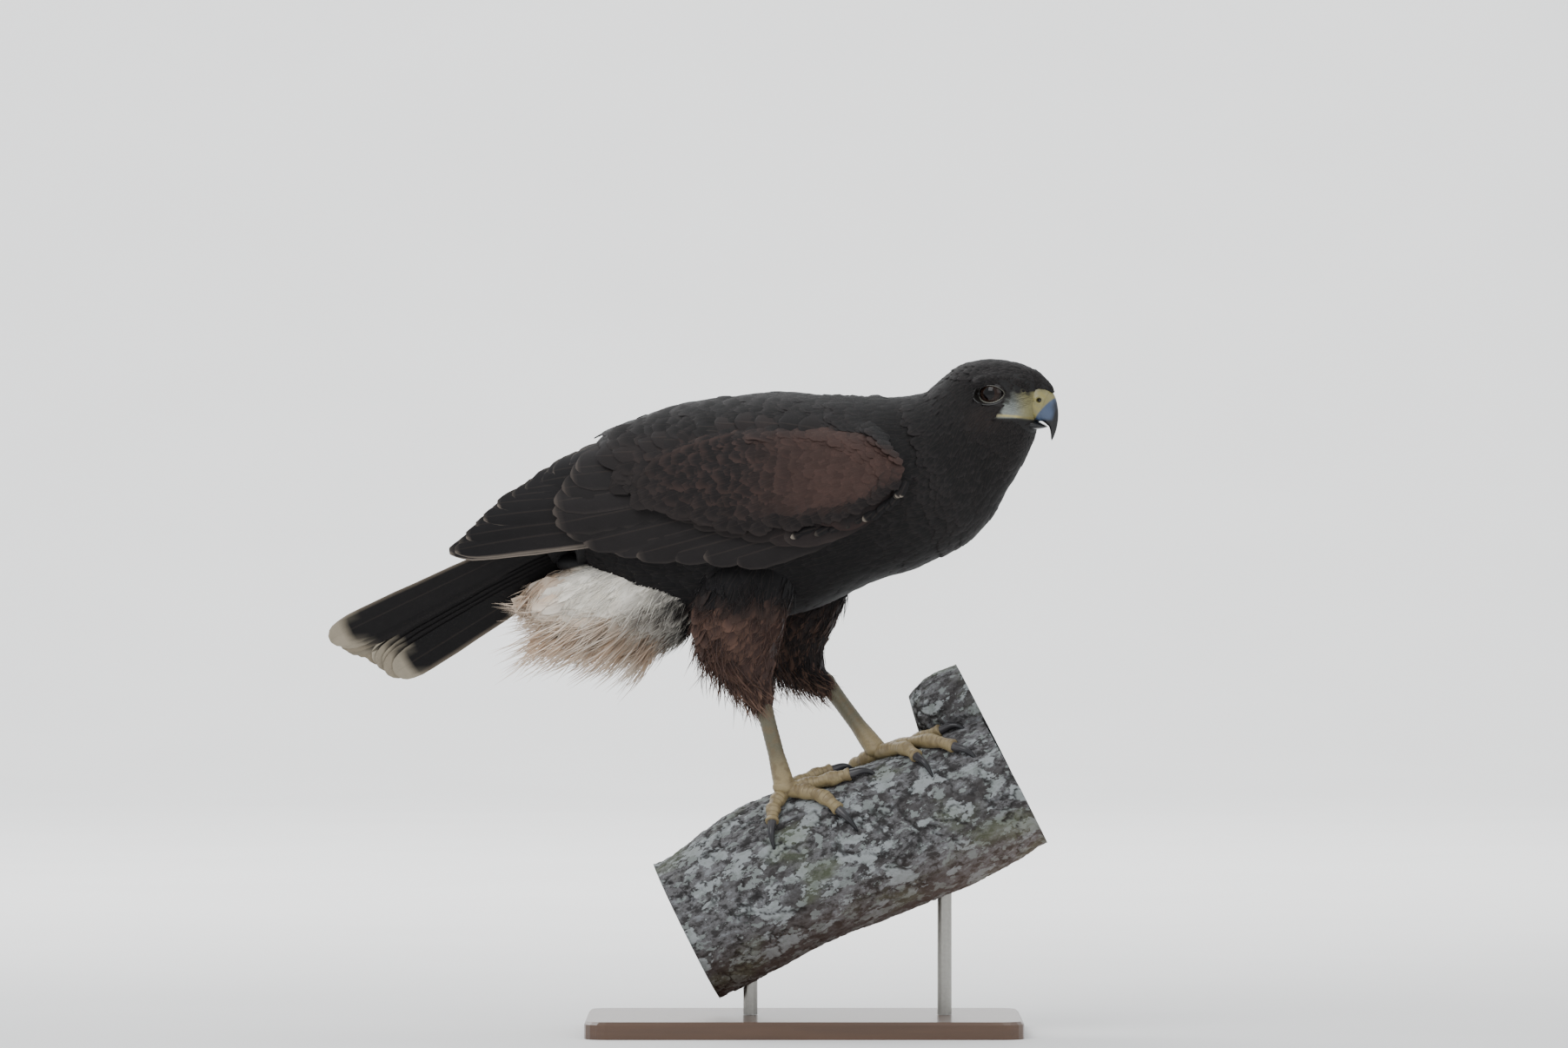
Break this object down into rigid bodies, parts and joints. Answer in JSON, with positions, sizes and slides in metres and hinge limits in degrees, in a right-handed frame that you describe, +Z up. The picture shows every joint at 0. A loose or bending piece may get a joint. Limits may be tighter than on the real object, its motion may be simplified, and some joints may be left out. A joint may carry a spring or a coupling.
{
  "type": "harris hawk, life-size display model",
  "caption": "Life-size still model of a Harris hawk gripping a short cut log, held by a flat base and two short rods.",
  "frame": {"origin": "centre of the bounding box at the underside of the stand's base", "axes": "+X towards the bird's bill, +Y towards its left side, +Z up"},
  "size_m": [0.4948, 0.18, 0.4639],
  "materials": {
    "sooty_feather": "matt sooty black-brown contour feathers",
    "wing_feather": "dark brown wing feathers with a chestnut shoulder patch",
    "dark_feather": "blackish tail feathers with a pale tip band",
    "pale_feather": "soft cream-white vent and undertail feathers",
    "rufous_feather": "chestnut thigh feathers",
    "yellow_skin": "scaly dull yellow skin",
    "dark_horn": "smooth dark horn",
    "blue_horn": "blue-grey horn, black at the tip",
    "eye": "wet dark brown",
    "bark": "grey cracked bark with pale lichen",
    "stand_wood": "satin dark wood",
    "stand_metal": "satin steel"
  },
  "bodies": {
    "root": {"bill_lower": "blue_horn", "bill_upper": "blue_horn", "cere": "yellow_skin", "claw_left_inner": "dark_horn", "claw_left_middle": "dark_horn", "claw_left_outer": "dark_horn", "claw_left_rear": "dark_horn", "claw_right_inner": "dark_horn", "claw_right_middle": "dark_horn", "claw_right_outer": "dark_horn", "claw_right_rear": "dark_horn", "eye_left": "eye", "eye_right": "eye", "foot_left": "yellow_skin", "foot_right": "yellow_skin", "head": "sooty_feather", "neck": "sooty_feather", "perch": "bark", "shank_left": "yellow_skin", "shank_right": "yellow_skin", "stand_base": "stand_wood", "stand_rod_front": "stand_metal", "stand_rod_rear": "stand_metal", "tail": "dark_feather", "thigh_left": "rufous_feather", "thigh_right": "rufous_feather", "torso": "sooty_feather", "undertail": "pale_feather", "wing_left": "wing_feather", "wing_right": "wing_feather"}
  },
  "joints": []
}
